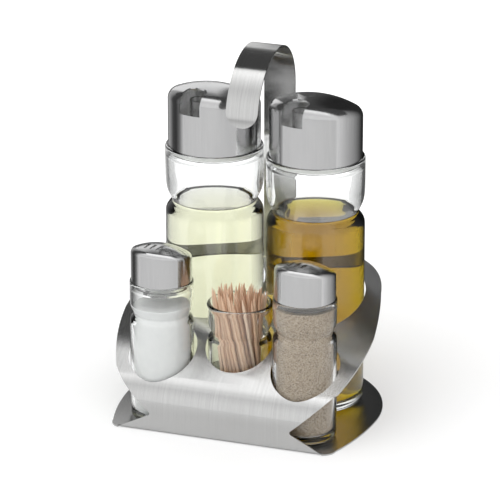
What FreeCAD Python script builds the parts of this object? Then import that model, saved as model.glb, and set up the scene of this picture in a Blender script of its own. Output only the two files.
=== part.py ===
# Cruet set: a folded steel stand that holds two bottles, two shakers and a toothpick jar
# Frame: +X right, +Y back, +Z up, with the origin on the table under the middle of the set
import itertools
import math
import os

import FreeCAD
import Part

os.makedirs("parts", exist_ok=True)
Vector = FreeCAD.Vector

# Driving dimensions in millimetres and degrees
# Bottles
BOTTLE_GAP = 5.0
BOTTLE_RADIUS = 30.0
BOTTLE_HEIGHT = 157.8
BOTTLE_WAIST_PINCH = 4.0
BOTTLE_WAIST_DROP = 35.0
BOTTLE_WALL = 2.4
BOTTLE_FLOOR = 5.0
BOTTLE_FOOT_ROUNDING = 5.0
BOTTLE_NECK_STEP = 0.9
BOTTLE_HOLE_CLEARANCE = 1.0
LIQUID_SPACE = 30.6

# Shakers
SHAKER_RADIUS = 19.3
SHAKER_HEIGHT = 88.5
SHAKER_WAIST_PINCH = 2.6
SHAKER_WAIST_DROP = 21.6
SHAKER_WALL = 2.0
SHAKER_FLOOR = 4.0
SHAKER_FOOT_ROUNDING = 3.5
SHAKER_NECK_STEP = 0.4
SHAKER_HOLE_CLEARANCE = 1.6
SHAKER_HOLE_SETBACK = 1.2
SALT_SPACE = 10.5
PEPPER_SPACE = 1.0

# Toothpick jar
JAR_Y = 12.5
JAR_RADIUS = 19.3
JAR_LIP_OVERHANG = 0.8
JAR_LIP_HEIGHT = 3.0
JAR_HEIGHT = 75.0
JAR_WAIST_PINCH = 2.3
JAR_WAIST_DROP = 19.0
JAR_WALL = 2.0
JAR_FLOOR = 4.0
JAR_FOOT_ROUNDING = 3.5
JAR_RIM_ROUNDING = 0.6

# All glasses
RIM_ROUNDING = 1.2
# Waist curve, both as shares of the pinch: height from the waist, inset, and the middles of arcs
WAIST_CURVE = (
    (-2.0, 0.0),
    (-1.2, 0.18, "arc"),
    (-0.5, 0.68),
    (0.0, 1.0, "arc"),
    (0.8, 0.68),
    (2.0, 0.2, "arc"),
    (3.7, 0.0),
)

# Toothpicks
PICK_DIAMETER = 2.0
PICK_LENGTH = 81.0
PICK_POINT_LENGTH = 7.0
PICK_TIP_DIAMETER = 0.4
PICK_TWIST = 72.0
PICK_FIRST_ANGLE = -90.0
PICK_WALL_GAP = 0.7
PICK_RING_GAP = 0.9
PICK_SIDE_GAP = 1.7
PICK_RING_COUNT = 5
PICK_FOOT_SHARE = 0.86
PICK_GAP_SHARE = 0.12
PICK_GAP_RINGS = 2
PICK_FLOOR_CLEARANCE = 0.05

# Rows: the shakers' axes are at Y = 0 until the whole set is centred
SHAKER_GAP = 7.0
ROW_GAP = 7.6

# Stand sheet
SHEET_THICKNESS = 1.0
FOLD_RADIUS = 2.0
FOLD_GAP = 3.6
LIP_LEAN = 3.0
LIP_LENGTH = 8.6
CREASE_RADIUS = 1.5
FRONT_LEAN = 10.0
FRONT_CURVE_RADIUS = 21.5
TRAY_RADIUS = 400.0
TRAY_FRONT_SLOPE = 32.4
TRAY_SIDE_MARGIN = 13.4
TRAY_WIDEST_Y = 28.0
SHOULDER_INSET = 10.5
NECK_DEPTH = 21.0
NECK_HEIGHT = 11.2
NECK_ROUNDING = 1.5
LOBE_MARGIN = 9.6
LOBE_START_ANGLE = 12.0

# Base plate
BASE_INSET = 0.4
BASE_WIDEST_Y = 36.0
BASE_FRONT_INSET = 11.0
BASE_FRONT_MARGIN = 2.5
BASE_CORNER_RADIUS = 8.0
FOLD_INSET = 4.0
FOLD_CORNER_GAP = 0.5

# Handle strip
STRIP_WIDTH = 20.0
STRIP_SETBACK = 25.6
ROOT_RELIEF = 2.5
ROOT_RELIEF_ROUNDING = 2.3
HOOK_REAR_RADIUS = 29.5
HOOK_FRONT_RADIUS = 39.5
HOOK_RISE = 34.6

# Caps
CAP_DIRECTION = -103.0
BOTTLE_CAP_INSET = 1.75
BOTTLE_CAP_HEIGHT = 31.6
BOTTLE_CAP_TILT = 10.1
BOTTLE_CAP_CROWN = 6.9
BOTTLE_CAP_WALL = 0.8
BOTTLE_CAP_EDGE = 7.0
SHAKER_CAP_INSET = 0.8
SHAKER_CAP_HEIGHT = 17.4
SHAKER_CAP_TILT = 12.0
SHAKER_CAP_CROWN = 5.0
SHAKER_CAP_WALL = 0.7
SHAKER_CAP_EDGE = 3.6

# Pouring notch and slits
NOTCH_WIDTH = 14.5
NOTCH_DROP = 6.4
NOTCH_DEPTH = 12.5
NOTCH_CORNER = 4.5
SLIT_COUNT = 3
SLIT_PITCH = 4.3
SLIT_WIDTH = 1.7
SLIT_LENGTH = 7.0
SLIT_OFFSET = 8.4

# Plugs inside the caps
PLUG_DEPTH = 4.0
PLUG_WALL = 2.0
PLUG_DISC = 2.4
PLUG_CLEARANCE = 0.8
PLUG_CAP_CLEARANCE = 0.05
NECK_MARGIN = 1.5
SEAL_HEIGHT = 2.0
SEAL_DEPTH = 0.8
SEAL_CLEARANCE = 0.05
SPOUT_RADIUS = 6.0
SPOUT_BORE_RADIUS = 4.6
SPOUT_INSET = 12.25
SPOUT_RISE = 0.8
VENT_RADIUS = 1.5
VENT_OFFSET = 18.0
DISPENSER_HOLE_RADIUS = 9.0

# How far cutters reach past what they cut, and how near counts as the same place
MARGIN = 10.0
NEAR = 0.01

# Places worked out from the driving dimensions
FLOOR_Z = SHEET_THICKNESS
BOTTLE_RIM_Z = FLOOR_Z + BOTTLE_HEIGHT
SHAKER_RIM_Z = FLOOR_Z + SHAKER_HEIGHT
LIQUID_LEVEL = BOTTLE_HEIGHT - PLUG_DEPTH - LIQUID_SPACE
SALT_LEVEL = SHAKER_HEIGHT - PLUG_DEPTH - SALT_SPACE
PEPPER_LEVEL = SHAKER_HEIGHT - PLUG_DEPTH - PEPPER_SPACE
BOTTLE_MOUTH_RADIUS = BOTTLE_RADIUS - BOTTLE_WALL - BOTTLE_NECK_STEP
SHAKER_MOUTH_RADIUS = SHAKER_RADIUS - SHAKER_WALL - SHAKER_NECK_STEP
BOTTLE_CAP_RADIUS = BOTTLE_RADIUS - BOTTLE_CAP_INSET
SHAKER_CAP_RADIUS = SHAKER_RADIUS - SHAKER_CAP_INSET
BOTTLE_X = BOTTLE_RADIUS + BOTTLE_GAP / 2
BOTTLE_Y = SHAKER_RADIUS + ROW_GAP + BOTTLE_RADIUS
SHAKER_X = JAR_RADIUS + SHAKER_GAP + SHAKER_RADIUS
BOTTLE_HOLE_RADIUS = BOTTLE_RADIUS + BOTTLE_HOLE_CLEARANCE
SHAKER_HOLE_RADIUS = SHAKER_RADIUS + SHAKER_HOLE_CLEARANCE
JAR_HOLE_RADIUS = JAR_RADIUS + SHAKER_HOLE_CLEARANCE
LOBE_RADIUS = BOTTLE_HOLE_RADIUS + LOBE_MARGIN
LOBE_BACK_Y = BOTTLE_Y + LOBE_RADIUS
TRAY_HALF_WIDTH = SHAKER_X + SHAKER_HOLE_RADIUS + TRAY_SIDE_MARGIN
SHOULDER_HALF_WIDTH = TRAY_HALF_WIDTH - SHOULDER_INSET
BASE_HALF_WIDTH = TRAY_HALF_WIDTH - BASE_INSET
BASE_BACK_Y = BASE_WIDEST_Y + BASE_HALF_WIDTH
BASE_FRONT_HALF_WIDTH = BASE_HALF_WIDTH - BASE_FRONT_INSET
FOLD_LINE_Y = -SHAKER_RADIUS - FOLD_GAP
BASE_FRONT_Y = FOLD_LINE_Y - BASE_FRONT_MARGIN
FOLD_HALF_WIDTH = BASE_FRONT_HALF_WIDTH - FOLD_INSET
NECK_HALF_WIDTH = FOLD_HALF_WIDTH - NECK_DEPTH
STRIP_ROOT_Y = BOTTLE_Y + STRIP_SETBACK
HOOK_HEIGHT = BOTTLE_RIM_Z + BOTTLE_CAP_HEIGHT + HOOK_RISE
NOTCH_SILL = BOTTLE_CAP_HEIGHT - NOTCH_DROP
SPOUT_OFFSET = BOTTLE_CAP_RADIUS - SPOUT_INSET
SPOUT_TOP = BOTTLE_CAP_HEIGHT + SPOUT_RISE
SEAL_Z = -(PLUG_DEPTH + SEAL_HEIGHT) / 2


def unit(angle):
    """Unit vector (y, z) or (x, y) at an angle in degrees."""
    return math.cos(math.radians(angle)), math.sin(math.radians(angle))


class SheetPath:
    """Centre line of a bent sheet in the YZ plane, drawn as straights and turns."""

    def __init__(self, y, z, heading):
        self.y = y
        self.z = z
        self.heading = heading
        self.centre = None
        self.left = []
        self.right = []
        self.start = self.sides()

    def sides(self):
        """Points on the sheet's two faces here: left and right of the heading."""
        ny, nz = unit(self.heading + 90)
        half = SHEET_THICKNESS / 2
        left = Vector(0, self.y + ny * half, self.z + nz * half)
        right = Vector(0, self.y - ny * half, self.z - nz * half)
        return left, right

    def straight(self, length):
        before = self.sides()
        dy, dz = unit(self.heading)
        self.y += dy * length
        self.z += dz * length
        after = self.sides()
        self.left.append(Part.makeLine(before[0], after[0]))
        self.right.append(Part.makeLine(before[1], after[1]))
        return self

    def turn(self, radius, angle):
        """Turn by an angle in degrees, positive to the left, along a centre-line radius."""
        side = math.copysign(90, angle)
        first = self.heading
        cy, cz = unit(first + side)
        self.centre = (self.y + cy * radius, self.z + cz * radius)
        points = [self.sides()]
        for share in (0.5, 1.0):
            self.heading = first + angle * share
            ry, rz = unit(self.heading - side)
            self.y = self.centre[0] + ry * radius
            self.z = self.centre[1] + rz * radius
            points.append(self.sides())
        for edges, index in ((self.left, 0), (self.right, 1)):
            arc = Part.Arc(points[0][index], points[1][index], points[2][index])
            edges.append(arc.toShape())
        return self

    def solid(self, half_width):
        """The bent sheet, as wide as given on each side of X = 0."""
        end = self.sides()
        edges = list(self.left)
        edges.append(Part.makeLine(end[0], end[1]))
        edges.extend(reversed(self.right))
        edges.append(Part.makeLine(self.start[1], self.start[0]))
        face = Part.Face(Part.Wire(Part.sortEdges(edges)[0]))
        face.translate(Vector(-half_width, 0, 0))
        return face.extrude(Vector(2 * half_width, 0, 0))


def mirrored(shape):
    """The same shape on the other side of X = 0."""
    return shape.mirror(Vector(0, 0, 0), Vector(1, 0, 0))


def arc_edge(first, middle, last):
    return Part.Arc(Vector(*first), Vector(*middle), Vector(*last)).toShape()


def arc_inset(radius):
    """How far the middle of a rounded corner lies from each of its two sides."""
    return radius * (1 - math.cos(math.radians(45)))


def upright_cylinder(x, y, radius, low, high):
    return Part.makeCylinder(radius, high - low, Vector(x, y, low))


def box_between(x, y, z):
    """Box from three (low, high) pairs."""
    size = (x[1] - x[0], y[1] - y[0], z[1] - z[0])
    return Part.makeBox(size[0], size[1], size[2], Vector(x[0], y[0], z[0]))


def sheet_start():
    return SheetPath(FOLD_LINE_Y, SHEET_THICKNESS / 2, 180.0)


def path_to_tray():
    """Fold, front lip, crease and front curve, up to where the tray's long curve begins."""
    path = sheet_start()
    path.turn(FOLD_RADIUS, -(90 + LIP_LEAN))
    path.straight(LIP_LENGTH)
    path.turn(CREASE_RADIUS, LIP_LEAN + FRONT_LEAN)
    path.turn(FRONT_CURVE_RADIUS, -(90 + FRONT_LEAN - TRAY_FRONT_SLOPE))
    return path


def front_face_y():
    """The foremost point of the stand, on the front curve's outer face."""
    path = path_to_tray()
    return path.centre[0] - FRONT_CURVE_RADIUS - SHEET_THICKNESS / 2


def tray_path_to(y):
    """The tray's centre line as far back as given."""
    path = path_to_tray()
    run = (y - path.y) / TRAY_RADIUS
    slope = math.degrees(math.asin(math.sin(math.radians(path.heading)) - run))
    path.turn(TRAY_RADIUS, slope - path.heading)
    return path


def tray_plan_solid():
    """Upright block with the tray's outline as it is seen from above."""
    front_y = FOLD_LINE_Y - 2 * MARGIN
    shoulder_y = path_to_tray().y
    rise = TRAY_WIDEST_Y - shoulder_y
    side_radius = (rise ** 2 + SHOULDER_INSET ** 2) / (2 * SHOULDER_INSET)
    side_centre = TRAY_HALF_WIDTH - side_radius
    sx, sy = unit(-math.degrees(math.asin(rise / side_radius)) / 2)
    shoulder = (SHOULDER_HALF_WIDTH, shoulder_y, -MARGIN)
    side_mid = (side_centre + side_radius * sx, TRAY_WIDEST_Y + side_radius * sy, -MARGIN)
    widest = (TRAY_HALF_WIDTH, TRAY_WIDEST_Y, -MARGIN)
    lobe_start = lobe_point(LOBE_START_ANGLE)
    lobe_mid = lobe_point((LOBE_START_ANGLE + 90) / 2)
    tx, ty = unit(LOBE_START_ANGLE - 90)
    bulge = blend_point(widest, (0, 1), lobe_start, (tx, ty))
    edges = [
        Part.makeLine(Vector(0, front_y, -MARGIN), Vector(SHOULDER_HALF_WIDTH, front_y, -MARGIN)),
        Part.makeLine(Vector(SHOULDER_HALF_WIDTH, front_y, -MARGIN), Vector(*shoulder)),
        arc_edge(shoulder, side_mid, widest),
        arc_edge(widest, bulge, lobe_start),
        arc_edge(lobe_start, lobe_mid, lobe_point(90)),
        Part.makeLine(Vector(*lobe_point(90)), Vector(0, LOBE_BACK_Y, -MARGIN)),
        Part.makeLine(Vector(0, LOBE_BACK_Y, -MARGIN), Vector(0, front_y, -MARGIN)),
    ]
    face = Part.Face(Part.Wire(Part.sortEdges(edges)[0]))
    half = face.extrude(Vector(0, 0, HOOK_HEIGHT + MARGIN))
    lobe = upright_cylinder(BOTTLE_X, BOTTLE_Y, LOBE_RADIUS, -MARGIN, HOOK_HEIGHT)
    corner = box_between((0, BOTTLE_X), (BOTTLE_Y, LOBE_BACK_Y), (-MARGIN, HOOK_HEIGHT))
    half = half.cut(corner.cut(lobe))
    return half.fuse(mirrored(half)).removeSplitter()


def lobe_point(angle):
    """Point on the rim of the tray's right-hand lobe, at the height where cutters start."""
    x, y = unit(angle)
    return BOTTLE_X + LOBE_RADIUS * x, BOTTLE_Y + LOBE_RADIUS * y, -MARGIN


def blend_point(first, first_way, last, last_way):
    """Middle of a gentle curve between two points with known directions."""
    reach = math.hypot(last[0] - first[0], last[1] - first[1]) / 4
    a = (first[0] + first_way[0] * reach, first[1] + first_way[1] * reach)
    b = (last[0] + last_way[0] * reach, last[1] + last_way[1] * reach)
    return (a[0] + b[0]) / 2, (a[1] + b[1]) / 2, first[2]


def tray_front_solid():
    """Block with the tray's outline as it is seen from the front, notched at the neck."""
    front_y = FOLD_LINE_Y - 2 * MARGIN
    shoulder_z = path_to_tray().z + SHEET_THICKNESS
    points = [
        (0, -MARGIN),
        (FOLD_HALF_WIDTH, -MARGIN),
        (FOLD_HALF_WIDTH, SHEET_THICKNESS),
        (NECK_HALF_WIDTH, NECK_HEIGHT),
        (SHOULDER_HALF_WIDTH, shoulder_z),
        (TRAY_HALF_WIDTH + MARGIN, shoulder_z),
        (TRAY_HALF_WIDTH + MARGIN, HOOK_HEIGHT),
        (0, HOOK_HEIGHT),
        (0, -MARGIN),
    ]
    wire = Part.makePolygon([Vector(x, front_y, z) for x, z in points])
    half = Part.Face(wire).extrude(Vector(0, BASE_BACK_Y - front_y, 0))
    neck = [e for e in half.Edges if is_neck_edge(e)]
    half = half.makeFillet(NECK_ROUNDING, neck)
    return half.fuse(mirrored(half)).removeSplitter()


def is_neck_edge(edge):
    """True for the front-to-back edge at the tip of the neck's notch."""
    return all(
        abs(v.X - NECK_HALF_WIDTH) < NEAR and abs(v.Z - NECK_HEIGHT) < NEAR
        for v in edge.Vertexes
    )


def container_holes():
    """Upright cutters for the five holes in the tray."""
    small_low = FOLD_RADIUS + MARGIN
    holes = [upright_cylinder(0, JAR_Y, JAR_HOLE_RADIUS, small_low, HOOK_HEIGHT)]
    for side in (-1, 1):
        shaker_x = side * SHAKER_X
        bottle_x = side * BOTTLE_X
        holes.append(
            upright_cylinder(
                shaker_x, SHAKER_HOLE_SETBACK, SHAKER_HOLE_RADIUS, small_low, HOOK_HEIGHT
            )
        )
        holes.append(upright_cylinder(bottle_x, BOTTLE_Y, BOTTLE_HOLE_RADIUS, 0, HOOK_HEIGHT))
    return holes


def root_slot():
    """Cutter for the gap that the handle strip is bent up from, with rounded reliefs."""
    half = STRIP_WIDTH / 2 + ROOT_RELIEF
    slot = box_between((-half, half), (STRIP_ROOT_Y, BASE_BACK_Y), (0, HOOK_HEIGHT))
    corners = [e for e in slot.Edges if is_root_corner(e)]
    return slot.makeFillet(ROOT_RELIEF_ROUNDING, corners)


def is_root_corner(edge):
    """True for the slot's two upright edges at the strip's root."""
    first, last = edge.Vertexes
    upright = abs(first.Z - last.Z) > NEAR
    return upright and abs(first.Y - STRIP_ROOT_Y) < NEAR


def make_base_plate():
    """Flat plate on the table, with a round back, bowed sides and rounded front corners."""
    rise = BASE_WIDEST_Y - BASE_FRONT_Y
    side_radius = (rise ** 2 + BASE_FRONT_INSET ** 2) / (2 * BASE_FRONT_INSET)

    def side_x(y):
        sagitta = side_radius - math.sqrt(side_radius ** 2 - (BASE_WIDEST_Y - y) ** 2)
        return BASE_HALF_WIDTH - sagitta

    corner = BASE_CORNER_RADIUS
    cut_in = arc_inset(corner)
    corner_y = BASE_FRONT_Y + corner
    mid_y = (corner_y + BASE_WIDEST_Y) / 2
    front_x = BASE_FRONT_HALF_WIDTH
    edges = []
    for side in (-1, 1):
        front_end = (side * (front_x - corner), BASE_FRONT_Y, 0)
        turn_mid = (side * (side_x(corner_y) - cut_in), BASE_FRONT_Y + cut_in, 0)
        side_start = (side * side_x(corner_y), corner_y, 0)
        side_mid = (side * side_x(mid_y), mid_y, 0)
        widest = (side * BASE_HALF_WIDTH, BASE_WIDEST_Y, 0)
        edges.append(arc_edge(front_end, turn_mid, side_start))
        edges.append(arc_edge(side_start, side_mid, widest))
    front_left = Vector(corner - front_x, BASE_FRONT_Y, 0)
    front_right = Vector(front_x - corner, BASE_FRONT_Y, 0)
    edges.append(Part.makeLine(front_left, front_right))
    edges.append(
        arc_edge(
            (-BASE_HALF_WIDTH, BASE_WIDEST_Y, 0),
            (0, BASE_BACK_Y, 0),
            (BASE_HALF_WIDTH, BASE_WIDEST_Y, 0),
        )
    )
    face = Part.Face(Part.Wire(Part.sortEdges(edges)[0]))
    plate = face.extrude(Vector(0, 0, SHEET_THICKNESS))
    half = FOLD_HALF_WIDTH + FOLD_CORNER_GAP
    front = box_between(
        (-half, half), (BASE_FRONT_Y - MARGIN, FOLD_LINE_Y), (-MARGIN, MARGIN)
    )
    return plate.cut(front)


def make_tray():
    """Front lip, front curve and the sloping tray with its five holes."""
    sheet = tray_path_to(LOBE_BACK_Y + MARGIN).solid(TRAY_HALF_WIDTH + MARGIN)
    sheet = sheet.common(tray_plan_solid())
    sheet = sheet.common(tray_front_solid())
    for hole in container_holes():
        sheet = sheet.cut(hole)
    return sheet.cut(root_slot())


def make_hook_handle():
    """Strip that rises from the tray's back and hooks forward over the bottles."""
    root = tray_path_to(STRIP_ROOT_Y - SHEET_THICKNESS)
    strip = SheetPath(root.y, root.z, root.heading)
    strip.straight(SHEET_THICKNESS)
    strip.turn(FOLD_RADIUS, 90 - root.heading)
    strip.straight(HOOK_HEIGHT - SHEET_THICKNESS / 2 - HOOK_REAR_RADIUS - strip.z)
    strip.turn(HOOK_REAR_RADIUS, 90)
    strip.turn(HOOK_FRONT_RADIUS, 90)
    half = STRIP_WIDTH / 2
    around_tip = (strip.y - MARGIN, strip.y + MARGIN)
    square_end = box_between((-half, half), around_tip, (strip.z - MARGIN, strip.z + half))
    start = Vector(0, strip.y - MARGIN, strip.z + half)
    round_end = Part.makeCylinder(half, 2 * MARGIN, start, Vector(0, 1, 0))
    before_root = (STRIP_ROOT_Y - MARGIN, STRIP_ROOT_Y)
    inside_tray = box_between((-half, half), before_root, (0, root.z + MARGIN))
    return strip.solid(half).cut(square_end.cut(round_end)).cut(inside_tray)


def turned(points):
    """Solid of revolution about Z from a closed outline of (radius, height) points.

    A point with a third item is passed by an arc: it is the arc's middle.
    """
    edges = []
    count = len(points)
    index = 0
    while index < count:
        here = points[index]
        after = points[(index + 1) % count]
        if len(after) == 3:
            last = points[(index + 2) % count]
            ends = [(p[0], 0, p[1]) for p in (here, after, last)]
            edges.append(arc_edge(*ends))
            index += 2
        else:
            edges.append(Part.makeLine(Vector(here[0], 0, here[1]), Vector(after[0], 0, after[1])))
            index += 1
    face = Part.Face(Part.Wire(edges))
    return face.revolve(Vector(0, 0, 0), Vector(0, 0, 1), 360)


class GlassForm:
    """Waisted glass container: the sizes that its outer and inner outlines share."""

    def __init__(self, radius, height, pinch, waist_drop, wall, floor, foot, rim, neck_step):
        self.radius = radius
        self.height = height
        self.pinch = pinch
        self.waist_height = height - waist_drop
        self.wall = wall
        self.floor = floor
        self.foot = foot
        self.rim = rim
        self.neck_step = neck_step

    def flank(self, radius):
        """Outline from the lower body up past the waist."""
        points = []
        for rise, inset, *arc in WAIST_CURVE:
            point = (radius - inset * self.pinch, self.waist_height + rise * self.pinch)
            points.append((*point, *arc))
        return points

    def outer(self):
        corner = arc_inset(self.foot)
        rim = arc_inset(self.rim)
        points = [
            (0, 0),
            (self.radius - self.foot, 0),
            (self.radius - corner, corner, "arc"),
            (self.radius, self.foot),
        ]
        points.extend(self.flank(self.radius))
        points.append((self.radius, self.height - self.rim))
        points.append((self.radius - rim, self.height - rim, "arc"))
        points.append((self.radius - self.rim, self.height))
        points.append((0, self.height))
        return points

    def inner(self, top):
        """Outline of the room inside, up to a height that may be past the rim."""
        radius = self.radius - self.wall
        mouth = radius - self.neck_step
        corner = arc_inset(self.foot)
        points = [
            (0, self.floor),
            (radius - self.foot, self.floor),
            (radius - corner, self.floor + corner, "arc"),
            (radius, self.floor + self.foot),
        ]
        points.extend(self.flank(radius))
        if self.neck_step > 0:
            neck_top = self.height - PLUG_DEPTH - NECK_MARGIN
            points.append((radius, neck_top - self.neck_step))
            points.append((mouth, neck_top))
        points.append((mouth, top))
        points.append((0, top))
        return points

    def glass(self):
        return turned(self.outer()).cut(turned(self.inner(self.height + MARGIN)))

    def filling(self, level):
        room = turned(self.inner(self.height))
        return room.common(upright_cylinder(0, 0, self.radius, 0, level))


def bottle_form():
    return GlassForm(
        BOTTLE_RADIUS, BOTTLE_HEIGHT, BOTTLE_WAIST_PINCH, BOTTLE_WAIST_DROP, BOTTLE_WALL,
        BOTTLE_FLOOR, BOTTLE_FOOT_ROUNDING, RIM_ROUNDING, BOTTLE_NECK_STEP,
    )


def shaker_form():
    return GlassForm(
        SHAKER_RADIUS, SHAKER_HEIGHT, SHAKER_WAIST_PINCH, SHAKER_WAIST_DROP, SHAKER_WALL,
        SHAKER_FLOOR, SHAKER_FOOT_ROUNDING, RIM_ROUNDING, SHAKER_NECK_STEP,
    )


def jar_form():
    return GlassForm(
        JAR_RADIUS, JAR_HEIGHT, JAR_WAIST_PINCH, JAR_WAIST_DROP, JAR_WALL,
        JAR_FLOOR, JAR_FOOT_ROUNDING, JAR_RIM_ROUNDING, 0,
    )


def make_jar_glass():
    """Open jar: the waisted glass with a rounded lip that stands out at the rim."""
    half = JAR_LIP_HEIGHT / 2
    inner = JAR_RADIUS - JAR_WALL
    lip_radius = JAR_RADIUS + JAR_LIP_OVERHANG
    outline = [
        (inner, JAR_HEIGHT - JAR_LIP_HEIGHT),
        (lip_radius - half, JAR_HEIGHT - JAR_LIP_HEIGHT),
        (lip_radius, JAR_HEIGHT - half, "arc"),
        (lip_radius - half, JAR_HEIGHT),
        (inner, JAR_HEIGHT),
    ]
    return jar_form().glass().fuse(turned(outline)).removeSplitter()


def crown_ball(radius, height, tilt, crown, inset):
    """Ball whose upper part is the cap's slanted, gently domed top."""
    ball_radius = (radius ** 2 + crown ** 2) / (2 * crown)
    dx, dy = unit(CAP_DIRECTION)
    lean = math.radians(tilt)
    normal = Vector(-math.sin(lean) * dx, -math.sin(lean) * dy, math.cos(lean))
    centre = Vector(0, 0, height) + normal * (crown - ball_radius)
    return Part.makeSphere(ball_radius - inset, centre)


def cap_form(radius, height, tilt, crown, inset, edge_rounding, low):
    """Upright round block from a low end to the slanted, domed top, with its top edge rounded."""
    block = Part.makeCylinder(radius - inset, height + radius - low, Vector(0, 0, low))
    block = block.common(crown_ball(radius, height, tilt, crown, inset))
    top_edges = [e for e in block.Edges if e.BoundBox.ZMin > height / 2 and e.BoundBox.XLength > radius]
    return block.makeFillet(edge_rounding - inset, top_edges)


def cap_shell(radius, height, tilt, crown, wall, edge_rounding):
    """Steel cup, open below, with a slanted domed top and a rounded edge."""
    outer = cap_form(radius, height, tilt, crown, 0, edge_rounding, 0)
    return outer.cut(cap_form(radius, height, tilt, crown, wall, edge_rounding, -MARGIN))


def towards_cap_front(shape):
    """Turn a shape drawn along +X so that it points along the caps' high side."""
    shape.rotate(Vector(0, 0, 0), Vector(0, 0, 1), CAP_DIRECTION)
    return shape


def make_bottle_cap():
    """Cap with a pouring notch that runs from its wall into its top."""
    shell = cap_shell(
        BOTTLE_CAP_RADIUS, BOTTLE_CAP_HEIGHT, BOTTLE_CAP_TILT,
        BOTTLE_CAP_CROWN, BOTTLE_CAP_WALL, BOTTLE_CAP_EDGE,
    )
    half = NOTCH_WIDTH / 2
    start = BOTTLE_CAP_RADIUS - NOTCH_DEPTH
    notch = box_between(
        (start, BOTTLE_CAP_RADIUS + MARGIN), (-half, half), (NOTCH_SILL, BOTTLE_CAP_HEIGHT + MARGIN)
    )
    corners = [e for e in notch.Edges if e.BoundBox.ZLength > MARGIN and e.BoundBox.XMax < start + NEAR]
    notch = notch.makeFillet(NOTCH_CORNER, corners)
    return shell.cut(towards_cap_front(notch))


def make_shaker_cap():
    """Cap with a row of slits near the high side of its top."""
    shell = cap_shell(
        SHAKER_CAP_RADIUS, SHAKER_CAP_HEIGHT, SHAKER_CAP_TILT,
        SHAKER_CAP_CROWN, SHAKER_CAP_WALL, SHAKER_CAP_EDGE,
    )
    for index in range(SLIT_COUNT):
        across = (index - (SLIT_COUNT - 1) / 2) * SLIT_PITCH
        shell = shell.cut(towards_cap_front(slit_cutter(across)))
    return shell


def slit_cutter(across):
    """Round-ended slot that runs along the slope of the shaker cap's top."""
    half = (SLIT_LENGTH - SLIT_WIDTH) / 2
    low = SHAKER_CAP_HEIGHT / 2
    high = SHAKER_CAP_HEIGHT + MARGIN
    slot = box_between(
        (SLIT_OFFSET - half, SLIT_OFFSET + half),
        (across - SLIT_WIDTH / 2, across + SLIT_WIDTH / 2), (low, high),
    )
    for end in (-half, half):
        slot = slot.fuse(upright_cylinder(SLIT_OFFSET + end, across, SLIT_WIDTH / 2, low, high))
    return slot


def plug_blank(cap_radius, cap_wall, mouth):
    """Disc held in the cap and a skirt that goes down into the glass mouth."""
    disc_radius = cap_radius - cap_wall - PLUG_CAP_CLEARANCE
    skirt_radius = mouth - PLUG_CLEARANCE
    disc = Part.makeCylinder(disc_radius, PLUG_DISC)
    skirt = Part.makeCylinder(skirt_radius, PLUG_DEPTH, Vector(0, 0, -PLUG_DEPTH))
    bore = Part.makeCylinder(skirt_radius - PLUG_WALL, PLUG_DEPTH, Vector(0, 0, -PLUG_DEPTH))
    return disc.fuse(skirt.cut(bore)).removeSplitter()


def make_pour_plug():
    """Plug with a spout tube under the cap's notch, an air vent and a seal groove."""
    plug = plug_blank(BOTTLE_CAP_RADIUS, BOTTLE_CAP_WALL, BOTTLE_MOUTH_RADIUS)
    tube = upright_cylinder(SPOUT_OFFSET, 0, SPOUT_RADIUS, 0, SPOUT_TOP)
    bore = upright_cylinder(SPOUT_OFFSET, 0, SPOUT_BORE_RADIUS, -PLUG_DEPTH, SPOUT_TOP + MARGIN)
    vent = upright_cylinder(-VENT_OFFSET, 0, VENT_RADIUS, -MARGIN, MARGIN)
    plug = plug.fuse(towards_cap_front(tube)).cut(towards_cap_front(bore))
    plug = plug.cut(towards_cap_front(vent))
    groove = ring(BOTTLE_MOUTH_RADIUS, seal_groove_radius(), SEAL_Z, SEAL_HEIGHT)
    return plug.cut(groove).removeSplitter()


def seal_groove_radius():
    """Radius of the plug at the bottom of the seal's groove."""
    return BOTTLE_MOUTH_RADIUS - PLUG_CLEARANCE - SEAL_DEPTH


def ring(outer, inner, low, height):
    blank = Part.makeCylinder(outer, height, Vector(0, 0, low))
    return blank.cut(Part.makeCylinder(inner, height, Vector(0, 0, low)))


def make_seal_ring():
    """Silicone ring that fills the plug's groove and reaches the glass mouth."""
    return ring(BOTTLE_MOUTH_RADIUS - SEAL_CLEARANCE, seal_groove_radius(), SEAL_Z, SEAL_HEIGHT)


def make_shaker_plug():
    """Plug ring with a wide hole, so that the filling can reach the slits."""
    plug = plug_blank(SHAKER_CAP_RADIUS, SHAKER_CAP_WALL, SHAKER_MOUTH_RADIUS)
    return plug.cut(Part.makeCylinder(DISPENSER_HOLE_RADIUS, 2 * MARGIN, Vector(0, 0, -MARGIN)))


def pick_lines():
    """Ends of each toothpick: rings of sticks, all twisted the same way."""
    lines = []
    low = JAR_FLOOR + PICK_FLOOR_CLEARANCE
    outer_ring = JAR_RADIUS - JAR_WALL - PICK_WALL_GAP - PICK_DIAMETER / 2
    for ring_index in range(PICK_RING_COUNT):
        top_radius = outer_ring - ring_index * (PICK_DIAMETER + PICK_RING_GAP)
        foot_radius = top_radius * PICK_FOOT_SHARE
        count = int(2 * math.pi * top_radius / (PICK_DIAMETER + PICK_SIDE_GAP))
        for index in range(count):
            share = index / count
            if ring_index < PICK_GAP_RINGS and abs(share - 0.5) < PICK_GAP_SHARE:
                continue
            top_angle = 360 * share + PICK_FIRST_ANGLE
            fx, fy = unit(top_angle + PICK_TWIST)
            tx, ty = unit(top_angle)
            foot = Vector(foot_radius * fx, foot_radius * fy, low)
            way = Vector(top_radius * tx, top_radius * ty, low + PICK_LENGTH) - foot
            way.normalize()
            lines.append((foot, foot + way * PICK_LENGTH))
    return lines


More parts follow.
